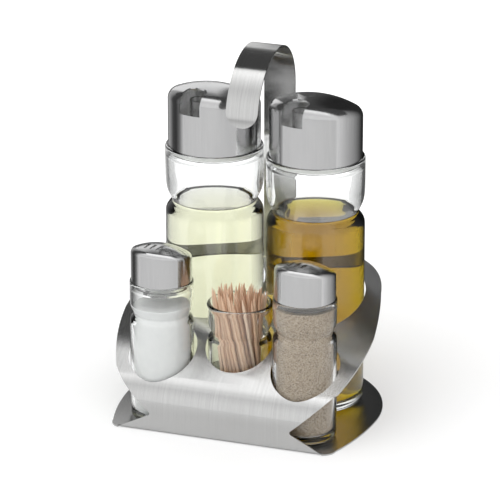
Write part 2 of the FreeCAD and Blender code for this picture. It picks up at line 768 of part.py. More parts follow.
def least_pick_gap(lines):
    """Least free distance between any two of the sticks' shafts."""
    axes = [Part.makeLine(foot, top) for foot, top in lines]
    nearest = min(a.distToShape(b)[0] for a, b in itertools.combinations(axes, 2))
    return nearest - PICK_DIAMETER


def make_toothpicks():
    """Double-pointed sticks that lean in the jar."""
    lines = pick_lines()
    print("toothpicks", len(lines), "least gap", round(least_pick_gap(lines), 3))
    return Part.makeCompound([make_pick(foot, top) for foot, top in lines])


def make_pick(foot, top):
    radius = PICK_DIAMETER / 2
    tip = PICK_TIP_DIAMETER / 2
    way = (top - foot).normalize()
    shaft_length = PICK_LENGTH - 2 * PICK_POINT_LENGTH
    shaft_start = foot + way * PICK_POINT_LENGTH
    shaft_end = shaft_start + way * shaft_length
    shaft = Part.makeCylinder(radius, shaft_length, shaft_start, way)
    low_point = Part.makeCone(tip, radius, PICK_POINT_LENGTH, foot, way)
    high_point = Part.makeCone(radius, tip, PICK_POINT_LENGTH, shaft_end, way)
    return shaft.fuse([low_point, high_point]).removeSplitter()


def placed(shape, x, y, z):
    copy = shape.copy()
    copy.translate(Vector(x, y, z))
    return copy


def build():
    """Every sub-part by node name, with the shakers' axes at Y = 0."""
    parts = {
        "base_plate": make_base_plate(),
        "tray": make_tray(),
        "hook_handle": make_hook_handle(),
    }
    bottle = bottle_form()
    for name, x in (("vinegar", -BOTTLE_X), ("oil", BOTTLE_X)):
        parts[name + "_bottle_glass"] = placed(bottle.glass(), x, BOTTLE_Y, FLOOR_Z)
        parts[name + "_liquid"] = placed(bottle.filling(LIQUID_LEVEL), x, BOTTLE_Y, FLOOR_Z)
        parts[name + "_cap_shell"] = placed(make_bottle_cap(), x, BOTTLE_Y, BOTTLE_RIM_Z)
        parts[name + "_pour_plug"] = placed(make_pour_plug(), x, BOTTLE_Y, BOTTLE_RIM_Z)
        parts[name + "_seal_ring"] = placed(make_seal_ring(), x, BOTTLE_Y, BOTTLE_RIM_Z)
    shaker = shaker_form()
    for name, x, level in (("salt", -SHAKER_X, SALT_LEVEL), ("pepper", SHAKER_X, PEPPER_LEVEL)):
        parts[name + "_shaker_glass"] = placed(shaker.glass(), x, 0, FLOOR_Z)
        parts[name + "_filling"] = placed(shaker.filling(level), x, 0, FLOOR_Z)
        parts[name + "_cap_shell"] = placed(make_shaker_cap(), x, 0, SHAKER_RIM_Z)
        parts[name + "_cap_plug"] = placed(make_shaker_plug(), x, 0, SHAKER_RIM_Z)
    parts["toothpick_jar_glass"] = placed(make_jar_glass(), 0, JAR_Y, FLOOR_Z)
    parts["toothpicks"] = placed(make_toothpicks(), 0, JAR_Y, FLOOR_Z)
    return parts


def middle_y():
    """Middle of the whole set from front to back."""
    return (front_face_y() + BASE_BACK_Y) / 2


def main():
    shift = Vector(0, -middle_y(), 0)
    for name, shape in build().items():
        shape.translate(shift)
        shape.exportStep("parts/" + name + ".step")
        solids = len(shape.Solids)
        print(name, "solids", solids, "valid", shape.isValid(), "volume", round(shape.Volume, 1))


main()
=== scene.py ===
# Cruet set: finishes, clear glass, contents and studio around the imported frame
import math
import random

import bmesh
import bpy
from mathutils import Matrix, Vector, noise


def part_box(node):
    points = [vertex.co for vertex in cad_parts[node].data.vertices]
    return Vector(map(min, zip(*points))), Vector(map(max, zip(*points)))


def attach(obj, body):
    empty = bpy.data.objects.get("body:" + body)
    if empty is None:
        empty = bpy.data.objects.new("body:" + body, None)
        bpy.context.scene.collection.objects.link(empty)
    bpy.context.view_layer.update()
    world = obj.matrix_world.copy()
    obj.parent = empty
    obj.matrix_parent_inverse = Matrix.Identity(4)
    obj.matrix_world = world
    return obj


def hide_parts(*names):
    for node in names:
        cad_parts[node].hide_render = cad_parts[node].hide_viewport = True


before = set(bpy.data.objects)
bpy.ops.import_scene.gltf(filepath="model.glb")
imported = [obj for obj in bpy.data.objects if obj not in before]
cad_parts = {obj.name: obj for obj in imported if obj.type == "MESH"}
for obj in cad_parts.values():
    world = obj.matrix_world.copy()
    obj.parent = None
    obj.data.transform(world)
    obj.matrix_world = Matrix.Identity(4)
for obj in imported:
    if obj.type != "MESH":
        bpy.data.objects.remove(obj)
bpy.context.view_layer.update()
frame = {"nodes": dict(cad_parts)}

# Sizes below are in millimetres
MM = 0.001

# Camera fitted to the photograph, about the middle of the shakers' row, with its angles in radians
VIEW_AZIMUTH = 0.345640752
VIEW_ELEVATION = 0.354683301
VIEW_RIGHT = 10.23068
VIEW_UP = 106.43547
VIEW_DISTANCE = 2200.0
VIEW_LENS = 261.53
VIEW_REACH = 20000.0
SENSOR_WIDTH = 36.0

# Glass: steps of each curve and of a whole turn, and the radius under which a ring is one point
WALL_STEPS = 6
TURN_STEPS = 160
NEAR = 0.001

# Waist: (rise, inset) from its middle, as shares of how deep it is pinched
WAIST_CURVE = (
    (-2.0, 0.0),
    (-1.2, 0.18),
    (-0.5, 0.68),
    (0.0, 1.0),
    (0.8, 0.68),
    (2.0, 0.2),
    (3.7, 0.0),
)
INNER_PINCH_SHARE = 0.55

# Hollow under a glass: (reach, rise), as shares of the flat bottom's radius and of the hollow's depth
PUNT_DEPTH = 0.9
PUNT_CURVE = (
    (0.0, 1.0),
    (0.6, 0.8),
    (0.92, 0.0),
    (1.0, 0.0),
)

# Neck, mouth and the jar's rolled lip, whose start below the rim is given in lip radii
PLUG_DEPTH = 4.0
NECK_MARGIN = 1.5
NECK_EASE = 0.5
NECK_LEAD = 2.0
MOUTH_ROUNDING = 0.5
LIP_START = 3.2
LIP_ANGLE = -60

# Contents: how they meet the glass, and their surfaces from the middle to the wall
LIQUID_OVERLAP = 0.04
MENISCUS_RISE = 0.7
MENISCUS_WIDTH = 1.6
MENISCUS_SHARES = (0.0, 0.35, 0.6, 0.8, 0.92)
GRAIN_GAP = 0.05
GRAIN_SHARES = (0.0, 0.12, 0.25, 0.4, 0.55, 0.7, 0.82, 0.91, 0.97)
GRAIN_CRUST = 2.0
GRAIN_SINK = 1.0
GRAIN_HILLS = 180.0
GRAIN_RIPPLES = 700.0
GRAIN_RIPPLE_SHARE = 0.5
SALT_UNEVENNESS = 0.35
SALT_LEAN = 0.5
PEPPER_UNEVENNESS = 0.2
PEPPER_LEAN = 0.1

# Toothpicks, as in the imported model
PICK_DIAMETER = 2.0
PICK_LENGTH = 81.0
PICK_POINT_LENGTH = 7.0
PICK_TIP_DIAMETER = 0.4
PICK_TWIST = 72.0
PICK_FIRST_ANGLE = -90.0
PICK_OUTER_RING = 15.6
PICK_RING_STEP = 2.9
PICK_PITCH = 3.7
PICK_RING_COUNT = 5
PICK_FOOT_SHARE = 0.86
PICK_GAP_SHARE = 0.12
PICK_GAP_RINGS = 2

# What the toothpicks add here: small strays, and points of (along, thickness) in shares of their size
PICK_TIP_SHARE = 0.4
PICK_TIP_ROUNDING = 0.25
PICK_POINT_CURVE = (
    (0.5, 0.66),
    (0.85, 0.93),
    (1.2, 1.0),
)
PICK_SIDES = 12
PICK_SEED = 7
PICK_FOOT_STRAY = 0.5
PICK_TOP_STRAY = 1.5
PICK_SHORTFALL = 1.6
PICK_TINTS = (0.15, 0.85)


def middle(node):
    """Middle of a node's box, in millimetres."""
    low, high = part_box(node)
    return (low + high) / (2 * MM)


def unit(angle):
    """Cosine and sine of an angle in degrees."""
    return math.cos(math.radians(angle)), math.sin(math.radians(angle))


# Shader helpers
class Nodes:
    """A node tree, and short calls that add nodes and link them."""

    def __init__(self, tree):
        self.tree = tree

    def add(self, kind, **settings):
        node = self.tree.nodes.new(kind)
        for key, value in settings.items():
            setattr(node, key, value)
        return node

    def link(self, source, target):
        self.tree.links.new(source, target)

    def put(self, value, target):
        """Feed an input with another node's output, or set it to a number."""
        if isinstance(value, bpy.types.NodeSocket):
            self.link(value, target)
        else:
            target.default_value = value

    def calculate(self, operation, *values):
        node = self.add("ShaderNodeMath", operation=operation)
        for value, target in zip(values, node.inputs):
            self.put(value, target)
        return node.outputs[0]

    def spread(self, source, low, high, source_low=0.0, source_high=1.0):
        """A value mapped from one span to another."""
        mapped = self.add("ShaderNodeMapRange")
        self.put(source_low, mapped.inputs["From Min"])
        self.put(source_high, mapped.inputs["From Max"])
        self.put(low, mapped.inputs["To Min"])
        self.put(high, mapped.inputs["To Max"])
        self.link(source, mapped.inputs["Value"])
        return mapped.outputs["Result"]

    def ramp(self, source, stops):
        """Colours by value: stops are (position, (r, g, b)), in order."""
        ramp = self.add("ShaderNodeValToRGB")
        elements = ramp.color_ramp.elements
        for position, colour in stops[1:-1]:
            elements.new(position).color = (*colour, 1.0)
        for element, (position, colour) in ((elements[0], stops[0]), (elements[-1], stops[-1])):
            element.position = position
            element.color = (*colour, 1.0)
        self.link(source, ramp.inputs["Fac"])
        return ramp.outputs["Color"]

    def rays(self, *kinds):
        """1 for rays of the kinds given, else 0."""
        path = self.add("ShaderNodeLightPath")
        seen = path.outputs[kinds[0]]
        for kind in kinds[1:]:
            seen = self.calculate("MAXIMUM", seen, path.outputs[kind])
        return seen


class Shader(Nodes):
    """A material with a Principled shader, and short calls to add what feeds it."""

    def __init__(self, name, **values):
        self.material = bpy.data.materials.new(name)
        self.material.use_nodes = True
        super().__init__(self.material.node_tree)
        self.principled = self.tree.nodes["Principled BSDF"]
        self.output = self.tree.nodes["Material Output"]
        self.coordinates = None
        for key, value in values.items():
            self.principled.inputs[key.replace("_", " ")].default_value = value

    def place(self, scale):
        """Object coordinates in metres, stretched by a scale in repeats per metre."""
        if self.coordinates is None:
            self.coordinates = self.add("ShaderNodeTexCoord")
        mapping = self.add("ShaderNodeMapping")
        mapping.inputs["Scale"].default_value = scale
        self.link(self.coordinates.outputs["Object"], mapping.inputs["Vector"])
        return mapping.outputs["Vector"]

    def noise(self, scale, detail=2.0, roughness=0.5):
        texture = self.add("ShaderNodeTexNoise")
        texture.inputs["Scale"].default_value = 1.0
        texture.inputs["Detail"].default_value = detail
        texture.inputs["Roughness"].default_value = roughness
        self.link(self.place(scale), texture.inputs["Vector"])
        return texture.outputs["Fac"]

    def cells(self, scale):
        texture = self.add("ShaderNodeTexVoronoi")
        texture.inputs["Scale"].default_value = 1.0
        self.link(self.place(scale), texture.inputs["Vector"])
        return texture

    def bump(self, source, height, strength):
        """Bump of a height in metres."""
        bump = self.add("ShaderNodeBump")
        bump.inputs["Strength"].default_value = strength
        bump.inputs["Distance"].default_value = height
        self.link(source, bump.inputs["Height"])
        self.link(bump.outputs["Normal"], self.principled.inputs["Normal"])

    def feed(self, key, source):
        self.link(source, self.principled.inputs[key])

    def draw_out(self, direction):
        """Direction in which highlights are drawn out, across the brushing."""
        vector = self.add("ShaderNodeCombineXYZ")
        for axis, value in zip("XYZ", direction):
            vector.inputs[axis].default_value = value
        self.feed("Tangent", vector.outputs["Vector"])

    def clear_to_lamps(self, tint):
        """Lets the light of lamps and of matt surfaces straight through the glass."""
        clear = self.add("ShaderNodeBsdfTransparent")
        clear.inputs["Color"].default_value = (*tint, 1.0)
        mix = self.add("ShaderNodeMixShader")
        self.link(self.rays("Is Shadow Ray", "Is Diffuse Ray"), mix.inputs["Fac"])
        self.link(self.principled.outputs["BSDF"], mix.inputs[1])
        self.link(clear.outputs["BSDF"], mix.inputs[2])
        self.link(mix.outputs["Shader"], self.output.inputs["Surface"])

    def absorb(self, colour, density):
        volume = self.add("ShaderNodeVolumeAbsorption")
        volume.inputs["Color"].default_value = (*colour, 1.0)
        volume.inputs["Density"].default_value = density
        self.link(volume.outputs["Volume"], self.output.inputs["Volume"])


# Materials
def brushed_steel():
    """Stand: stainless sheet brushed from front to back."""
    shader = Shader(
        "brushed_steel", Metallic=1.0, Base_Color=(0.62, 0.62, 0.615, 1.0), Roughness=0.22,
        Anisotropic=1.0,
    )
    streaks = shader.noise((2600.0, 28.0, 28.0), detail=4.0, roughness=0.7)
    patches = shader.noise((60.0, 40.0, 40.0))
    stops = (
        (0.25, (0.56, 0.56, 0.555)),
        (0.75, (0.68, 0.68, 0.675)),
    )
    shader.feed("Base Color", shader.ramp(streaks, stops))
    shader.feed("Roughness", shader.spread(patches, 0.2, 0.25, 0.3, 0.7))
    shader.bump(streaks, 0.00002, 0.35)
    shader.draw_out((1.0, 0.0, 0.0))
    return shader.material


def cap_steel():
    """Caps: pressed steel with a satin polish that draws reflections out upwards."""
    shader = Shader(
        "cap_steel", Metallic=1.0, Base_Color=(0.6, 0.6, 0.6, 1.0), Roughness=0.17, Anisotropic=0.8,
    )
    grain = shader.noise((1500.0, 1500.0, 40.0), detail=3.0)
    wear = shader.noise((70.0, 70.0, 30.0), detail=3.0)
    half_of_each = shader.calculate("MULTIPLY_ADD", grain, 0.5, shader.spread(wear, 0.0, 0.5))
    stops = (
        (0.3, (0.56, 0.56, 0.565)),
        (0.7, (0.64, 0.64, 0.64)),
    )
    shader.feed("Base Color", shader.ramp(half_of_each, stops))
    shader.feed("Roughness", shader.spread(wear, 0.15, 0.2, 0.3, 0.7))
    shader.bump(grain, 0.000006, 0.5)
    shader.draw_out((0.0, 0.0, 1.0))
    return shader.material


def clear_glass():
    """Glasses: clear soda glass with a faint green in its thick edges."""
    shader = Shader(
        "clear_glass", Base_Color=(0.985, 0.99, 0.988, 1.0), Roughness=0.0, IOR=1.5,
        Transmission_Weight=1.0,
    )
    ripple = shader.noise((120.0, 120.0, 40.0), detail=1.0)
    shader.bump(ripple, 0.00002, 0.3)
    shader.clear_to_lamps((0.95, 0.96, 0.95))
    shader.absorb((0.8, 0.9, 0.87), 2.0)
    return shader.material


def liquid(name, ior, colour, density):
    """Clear liquid; its low IOR makes up for walls that the glass and the liquid both have."""
    shader = Shader(
        name, Base_Color=(1.0, 1.0, 1.0, 1.0), Roughness=0.0, IOR=ior, Transmission_Weight=1.0,
    )
    shader.clear_to_lamps((1.0, 1.0, 1.0))
    shader.absorb(colour, density)
    return shader.material


def vinegar():
    return liquid("vinegar", 1.2, (0.76, 0.775, 0.25), 11.0)


def oil():
    return liquid("oil", 1.25, (0.9, 0.84, 0.01), 185.0)


def salt():
    """Salt: fine white grains that glitter a little."""
    shader = Shader("salt", Base_Color=(0.86, 0.86, 0.87, 1.0), Roughness=0.6)
    grains = shader.cells((2600.0, 2600.0, 2600.0))
    lumps = shader.noise((260.0, 260.0, 260.0), detail=4.0)
    stops = (
        (0.3, (0.86, 0.86, 0.87)),
        (0.65, (0.90, 0.90, 0.905)),
    )
    shader.feed("Base Color", shader.ramp(lumps, stops))
    shader.bump(grains.outputs["Distance"], 0.00025, 0.6)
    return shader.material


def pepper():
    """Pepper: finely ground, from pale tan to dark brown."""
    shader = Shader("pepper", Roughness=0.85)
    grains = shader.cells((2300.0, 2300.0, 2300.0))
    shade = shader.add("ShaderNodeSeparateColor")
    shader.link(grains.outputs["Color"], shade.inputs["Color"])
    stops = (
        (0.0, (0.09, 0.06, 0.04)),
        (0.15, (0.26, 0.19, 0.13)),
        (0.3, (0.37, 0.285, 0.205)),
        (0.75, (0.44, 0.35, 0.26)),
        (1.0, (0.54, 0.455, 0.36)),
    )
    shader.feed("Base Color", shader.ramp(shade.outputs["Red"], stops))
    shader.bump(grains.outputs["Distance"], 0.0002, 0.6)
    return shader.material


def pick_wood():
    """Toothpicks: pale birch, a little different from stick to stick."""
    shader = Shader("pick_wood", Roughness=0.55)
    tint = shader.add("ShaderNodeAttribute", attribute_name="stick_tint")
    fibre = shader.noise((2200.0, 2200.0, 90.0), detail=3.0)
    shade = shader.calculate("ADD", shader.spread(fibre, -0.25, 0.25), tint.outputs["Fac"])
    stops = (
        (0.0, (0.46, 0.24, 0.14)),
        (0.5, (0.80, 0.55, 0.38)),
        (1.0, (0.92, 0.74, 0.58)),
    )
    shader.feed("Base Color", shader.ramp(shade, stops))
    shader.bump(fibre, 0.00004, 0.5)
    return shader.material


def plug_plastic():
    """Plugs: clear moulded plastic, slightly hazy."""
    shader = Shader(
        "plug_plastic", Base_Color=(0.97, 0.97, 0.97, 1.0), Roughness=0.1, IOR=1.4,
        Transmission_Weight=1.0,
    )
    mould = shader.noise((900.0, 900.0, 900.0))
    shader.feed("Roughness", shader.spread(mould, 0.06, 0.16, 0.3, 0.7))
    shader.clear_to_lamps((0.9, 0.9, 0.9))
    return shader.material


def seal_silicone():
    """Seal rings: soft milky silicone."""
    shader = Shader("seal_silicone", Base_Color=(0.82, 0.82, 0.80, 1.0), Roughness=0.55)
    mould = shader.noise((700.0, 700.0, 700.0))
    shader.feed("Roughness", shader.spread(mould, 0.48, 0.62, 0.3, 0.7))
    return shader.material


def give(piece, material):
    """One material for the whole of a piece."""
    piece.data.materials.clear()
    piece.data.materials.append(material)


# Lathed glass
def arc(centre_r, centre_z, radius, first, last, steps=WALL_STEPS):
    """Points (r, z) on an arc from one angle to another, in degrees."""
    points = []
    for index in range(steps + 1):
        c, s = unit(first + (last - first) * index / steps)
        points.append((centre_r + radius * c, centre_z + radius * s))
    return points


def smooth(points, steps=WALL_STEPS):
    """Catmull-Rom curve through points, its two end points only giving directions."""
    curve = []
    for before, here, after, beyond in zip(points, points[1:], points[2:], points[3:]):
        for index in range(steps):
            t = index / steps
            weights = (
                -0.5 * t + t * t - 0.5 * t ** 3,
                1 - 2.5 * t * t + 1.5 * t ** 3,
                0.5 * t + 2 * t * t - 1.5 * t ** 3,
                -0.5 * t * t + 0.5 * t ** 3,
            )
            spots = (before, here, after, beyond)
            curve.append(tuple(sum(w * p[axis] for w, p in zip(weights, spots)) for axis in (0, 1)))
    curve.append(points[-2])
    return curve


def lathe(name, profile, x, y, z):
    """Closed solid turned about an upright axis from (r, z) points in millimetres."""
    mesh = bpy.data.meshes.new(name)
    build = bmesh.new()
    rings = []
    for radius, height in profile:
        if radius < NEAR:
            rings.append([build.verts.new(Vector((x, y, z + height)) * MM)])
            continue
        ring = []
        for index in range(TURN_STEPS):
            c, s = unit(360 * index / TURN_STEPS)
            ring.append(build.verts.new(Vector((x + radius * c, y + radius * s, z + height)) * MM))
        rings.append(ring)
    for low, high in zip(rings, rings[1:]):
        for index in range(TURN_STEPS):
            after = (index + 1) % TURN_STEPS
            corners = [low[index % len(low)], low[after % len(low)]]
            corners += [high[after % len(high)], high[index % len(high)]]
            build.faces.new(list(dict.fromkeys(corners)))
    bmesh.ops.recalc_face_normals(build, faces=build.faces)
    build.to_mesh(mesh)
    build.free()
    for polygon in mesh.polygons:
        polygon.use_smooth = True
    piece = bpy.data.objects.new(name, mesh)
    bpy.context.scene.collection.objects.link(piece)
    return piece


class Vessel:
    """A waisted glass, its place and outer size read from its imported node."""

    def __init__(self, node, wall, floor, pinch, waist_drop, foot, rim, neck_step, overhang=0.0):
        low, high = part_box(node)
        self.node = node
        self.x = (low.x + high.x) / 2 / MM
        self.y = (low.y + high.y) / 2 / MM
        self.z = low.z / MM
        self.radius = (high.x - low.x) / 2 / MM - overhang
        self.height = (high.z - low.z) / MM
        self.wall = wall
        self.floor = floor
        self.pinch = pinch
        self.waist = self.height - waist_drop
        self.foot = foot
        self.rim = rim
        self.neck_step = neck_step
        self.overhang = overhang

    def flank(self, radius, share=1.0):
        """The waisted stretch of a wall, from below the waist to above it."""
        pinch = self.pinch
        points = []
        for rise, inset in WAIST_CURVE:
            points.append((radius - inset * pinch * share, self.waist + rise * pinch))
        reach = 2 * pinch
        first = (radius, points[0][1] - reach)
        last = (radius, points[-1][1] + reach)
        return smooth([first, *points, last])

    def outside(self):
        """Outer profile from the middle of the bottom to the top of the rim."""
        flat = self.radius - self.foot
        punt = [(flat * reach, PUNT_DEPTH * rise) for reach, rise in PUNT_CURVE]
        points = smooth([(-1, PUNT_DEPTH), *punt, (flat + 1, 0)])
        points[0] = (0, PUNT_DEPTH)
        points += arc(flat, self.foot, self.foot, -90, 0)
        points += self.flank(self.radius)
        lip = self.rim
        centre = self.radius + self.overhang - lip
        if self.overhang:
            points.append((self.radius, self.height - LIP_START * lip))
            points += arc(centre, self.height - lip, lip, LIP_ANGLE, 90, 2 * WALL_STEPS)
        else:
            points += arc(centre, self.height - lip, lip, 0, 90)
        return points

    def inside(self, inset=0.0):
        """Inner profile from the mouth down to the middle of the floor, moved into the wall."""
        radius = self.radius - self.wall + inset
        floor = self.floor - inset
        foot = self.foot
        points = []
        if self.neck_step:
            neck_top = self.height - PLUG_DEPTH - NECK_MARGIN
            step = self.neck_step
            points += smooth([
                (radius - step, neck_top + NECK_LEAD),
                (radius - step, neck_top + NECK_EASE),
                (radius - step / 2, neck_top - step / 2),
                (radius, neck_top - step - NECK_EASE),
                (radius, neck_top - step - NECK_LEAD),
            ])
        points += list(reversed(self.flank(radius, INNER_PINCH_SHARE)))
        points += arc(radius - foot, floor + foot, foot, 0, -90)
        points.append((0, floor))
        return points

    def glass(self):
        mouth = self.radius - self.wall - self.neck_step
        rounding = MOUTH_ROUNDING
        if self.overhang:
            rounding = self.rim
        rim = arc(mouth + rounding, self.height - rounding, rounding, 90, 180)
        piece = lathe(self.node + "_blown", self.outside() + rim + self.inside(), self.x, self.y, self.z)
        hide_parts(self.node)
        return piece

    def wall_below(self, level, inset):
        """Inner profile from a level down to the floor's middle."""
        points = self.inside(inset)
        below = [p for p in points if p[1] < level]
        above = [p for p in points if p[1] >= level][-1]
        share = (level - below[0][1]) / (above[1] - below[0][1])
        radius = below[0][0] + (above[0] - below[0][0]) * share
        return radius, [(radius, level), *below]

    def liquid(self, node):
        """Liquid that wets the glass, with its edge drawn up the wall."""
        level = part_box(node)[1].z / MM - self.z
        radius, wall = self.wall_below(level + MENISCUS_RISE, LIQUID_OVERLAP)
        surface = [(0, level)]
        for share in MENISCUS_SHARES:
            surface.append((radius - MENISCUS_WIDTH * (1 - share), level + MENISCUS_RISE * share ** 3))
        piece = lathe(node + "_clear", surface + wall, self.x, self.y, self.z)
        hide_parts(node)
        return piece

    def grains(self, node, unevenness, lean):
        """Loose grains with an uneven, slightly leaning surface."""
        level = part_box(node)[1].z / MM - self.z
        radius, wall = self.wall_below(level, -GRAIN_GAP)
        surface = [(radius * share, level) for share in GRAIN_SHARES]
        piece = lathe(node + "_grains", surface + wall, self.x, self.y, self.z)
        top = (self.z + level) * MM
        crust = GRAIN_CRUST * MM
        for vertex in piece.data.vertices:
            drop = top - vertex.co.z
            if drop > crust:
                continue
            hills = noise.noise(vertex.co * GRAIN_HILLS)
            ripples = GRAIN_RIPPLE_SHARE * noise.noise(vertex.co * GRAIN_RIPPLES)
            rise = (hills + ripples - GRAIN_SINK) * unevenness
            slope = (vertex.co.x / MM - self.x) / self.radius * lean
            vertex.co.z += (rise + slope - abs(lean)) * MM * (1 - drop / crust)
        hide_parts(node)
        return piece


def bottle(name):
    return Vessel(
        name + "_bottle_glass", wall=2.4, floor=5.0, pinch=4.0, waist_drop=35.0, foot=5.0, rim=1.2,
        neck_step=0.9,
    )


def shaker(name):
    return Vessel(
        name + "_shaker_glass", wall=2.0, floor=4.0, pinch=2.6, waist_drop=21.6, foot=3.5, rim=1.2,
        neck_step=0.4,
    )


def jar():
    return Vessel(
        "toothpick_jar_glass", wall=2.0, floor=4.0, pinch=2.3, waist_drop=19.0, foot=3.5, rim=1.4,
        neck_step=0.0, overhang=0.8,
    )


# Toothpicks
def pick_lines(floor):
    """Ends of each toothpick about the jar's axis: rings of sticks, all twisted the same way."""
    lines = []
    for ring in range(PICK_RING_COUNT):
        top_radius = PICK_OUTER_RING - ring * PICK_RING_STEP
        count = int(2 * math.pi * top_radius / PICK_PITCH)
        for index in range(count):
            share = index / count
            if ring < PICK_GAP_RINGS and abs(share - 0.5) < PICK_GAP_SHARE:
                continue
            angle = 360 * share + PICK_FIRST_ANGLE
            fx, fy = unit(angle + PICK_TWIST)
            tx, ty = unit(angle)
            foot_radius = top_radius * PICK_FOOT_SHARE
            foot = Vector((foot_radius * fx, foot_radius * fy, floor))
            top = Vector((top_radius * tx, top_radius * ty, floor + PICK_LENGTH))
            lines.append((foot, (top - foot).normalized()))
    return lines


def add_pick(build, tint, foot, way, length, shade):
    """One double-pointed stick with soft shoulders where its points begin."""
    side = way.cross(Vector((1, 0, 0))).normalized()
    front = way.cross(side)
    radius = PICK_DIAMETER / 2
    tip = PICK_TIP_DIAMETER / 2
    point = [(0, tip * PICK_TIP_SHARE), (PICK_TIP_ROUNDING, tip)]
    for along, thickness in PICK_POINT_CURVE:
        point.append((PICK_POINT_LENGTH * along, radius * thickness))
    far_point = [(length - along, reach) for along, reach in reversed(point)]
    outline = [*point, (length / 2, radius), *far_point]
    rings = []
    for along, reach in outline:
        ring = []
        for index in range(PICK_SIDES):
            c, s = unit(360 * index / PICK_SIDES)
            vertex = build.verts.new((foot + way * along + (side * c + front * s) * reach) * MM)
            vertex[tint] = shade
            ring.append(vertex)
        rings.append(ring)
    build.faces.new(reversed(rings[0]))
    build.faces.new(rings[-1])
    for low, high in zip(rings, rings[1:]):
        for index in range(PICK_SIDES):
            after = (index + 1) % PICK_SIDES
            build.faces.new((low[index], low[after], high[after], high[index]))


def stray(reach):
    """Random level shift of up to a reach on each axis."""
    return Vector((random.uniform(-reach, reach), random.uniform(-reach, reach), 0))


def toothpicks():
    """The bundle of sticks, each with a tint of its own."""
    random.seed(PICK_SEED)
    node = "toothpicks"
    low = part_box(node)[0].z / MM
    spot = middle("toothpick_jar_glass")
    mesh = bpy.data.meshes.new(node)
    build = bmesh.new()
    tint = build.verts.layers.float.new("stick_tint")
    for foot, way in pick_lines(low):
        foot += Vector((spot.x, spot.y, 0)) + stray(PICK_FOOT_STRAY)
        way = (way * PICK_LENGTH + stray(PICK_TOP_STRAY)).normalized()
        length = PICK_LENGTH - random.uniform(0.0, PICK_SHORTFALL)
        shade = random.uniform(*PICK_TINTS)
        add_pick(build, tint, foot, way, length, shade)
    bmesh.ops.recalc_face_normals(build, faces=build.faces)
    build.to_mesh(mesh)
    build.free()
    for polygon in mesh.polygons:
        polygon.use_smooth = len(polygon.vertices) == 4
    piece = bpy.data.objects.new("toothpick_bundle", mesh)
    bpy.context.scene.collection.objects.link(piece)
    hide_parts(node)
    return piece


# Dress the model
def dress():
    steel = brushed_steel()
    caps = cap_steel()
    glass = clear_glass()
    plastic = plug_plastic()
    silicone = seal_silicone()
    nodes = frame["nodes"]
    for node in ("base_plate", "tray", "hook_handle"):
        give(nodes[node], steel)
    for name, filling in (("vinegar", vinegar()), ("oil", oil())):
        vessel = bottle(name)
        blown = vessel.glass()
        give(blown, glass)
        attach(blown, name + "_bottle")
        poured = vessel.liquid(name + "_liquid")
        give(poured, filling)
        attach(poured, name + "_bottle")
        give(nodes[name + "_cap_shell"], caps)
        give(nodes[name + "_pour_plug"], plastic)
        give(nodes[name + "_seal_ring"], silicone)
    heaps = (
        ("salt", salt(), SALT_UNEVENNESS, SALT_LEAN),
        ("pepper", pepper(), PEPPER_UNEVENNESS, PEPPER_LEAN),
    )
    for name, filling, unevenness, lean in heaps:
        vessel = shaker(name)
        blown = vessel.glass()
        give(blown, glass)
        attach(blown, name + "_shaker")
        heap = vessel.grains(name + "_filling", unevenness, lean)
        give(heap, filling)
        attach(heap, name + "_shaker")
        give(nodes[name + "_cap_shell"], caps)
        give(nodes[name + "_cap_plug"], plastic)
    blown = jar().glass()
    give(blown, glass)
    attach(blown, "toothpick_jar")
    bundle = toothpicks()
    give(bundle, pick_wood())
    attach(bundle, "toothpick_jar")


# Studio, in metres
FLOOR_REACH = 3.0
FLOOR_GLOW = (0.25, 0.6)
FLOOR_GLOW_REACH = (0.1, 0.45)
LAMP_PLACE = (-0.1, -0.62, 1.0)
LAMP_TARGET = (0.0, 0.0, 0.1)
LAMP_SIZE = (1.3, 1.0)
LAMP_STRENGTH = 1.5
WALL_RADIUS = 0.28
WALL_HEIGHT = 0.5
WALL_SKIRT = 0.19
WALL_FOOT = 0.0005
WALL_PANELS = 24

# Dark cards that only the gloss of metal and glass sees: grey and corners
CARDS = {
    "over_hook": (
        0.07,
        ((-0.26, -0.018, 0.28), (0.22, -0.018, 0.28), (0.22, 0.085, 0.28), (-0.26, 0.085, 0.28)),
    ),
    "behind": (
        0.08,
        ((-0.4, 0.35, 0.0), (-0.03, 0.35, 0.0), (-0.03, 0.35, 0.2), (-0.4, 0.35, 0.2)),
    ),
}

# How bright the world is: for matt surfaces, and for gloss by the angle from the front over the top
WORLD_LIGHT = 0.72
SKY_TOP = 1.7
SKY_STOPS = (
    (0, 1.0),
    (24, 1.0),
    (40, 0.9),
    (48, 0.84),
    (58, 1.02),
    (68, 1.3),
    (78, 1.55),
    (105, 1.6),
    (110, 0.08),
    (118, 0.12),
    (130, 0.36),
    (142, 0.8),
    (152, 1.0),
    (180, 1.0),
)

# How bright the side walls are, by the angle about the stand's middle from +X towards +Y
RIGHT_WALL_STOPS = ((-18, 1.0), (8, 0.62), (33, 0.34), (50, 0.14), (62, 0.03), (92, 0.02), (106, 0.12))
LEFT_WALL_STOPS = ((140, 0.5), (158, 0.36), (170, 0.08), (184, 0.05), (195, 0.24), (208, 1.0))

# The same for what is seen through glass
RIGHT_GLASS_STOPS = ((-20, 1.0), (18, 0.5), (45, 0.08), (74, 0.1), (92, 1.0))
LEFT_GLASS_STOPS = ((128, 1.0), (146, 0.3), (175, 0.06), (195, 0.4), (212, 1.0))


def grey_stops(stops, span):
    return [(position / span, (grey, grey, grey)) for position, grey in stops]


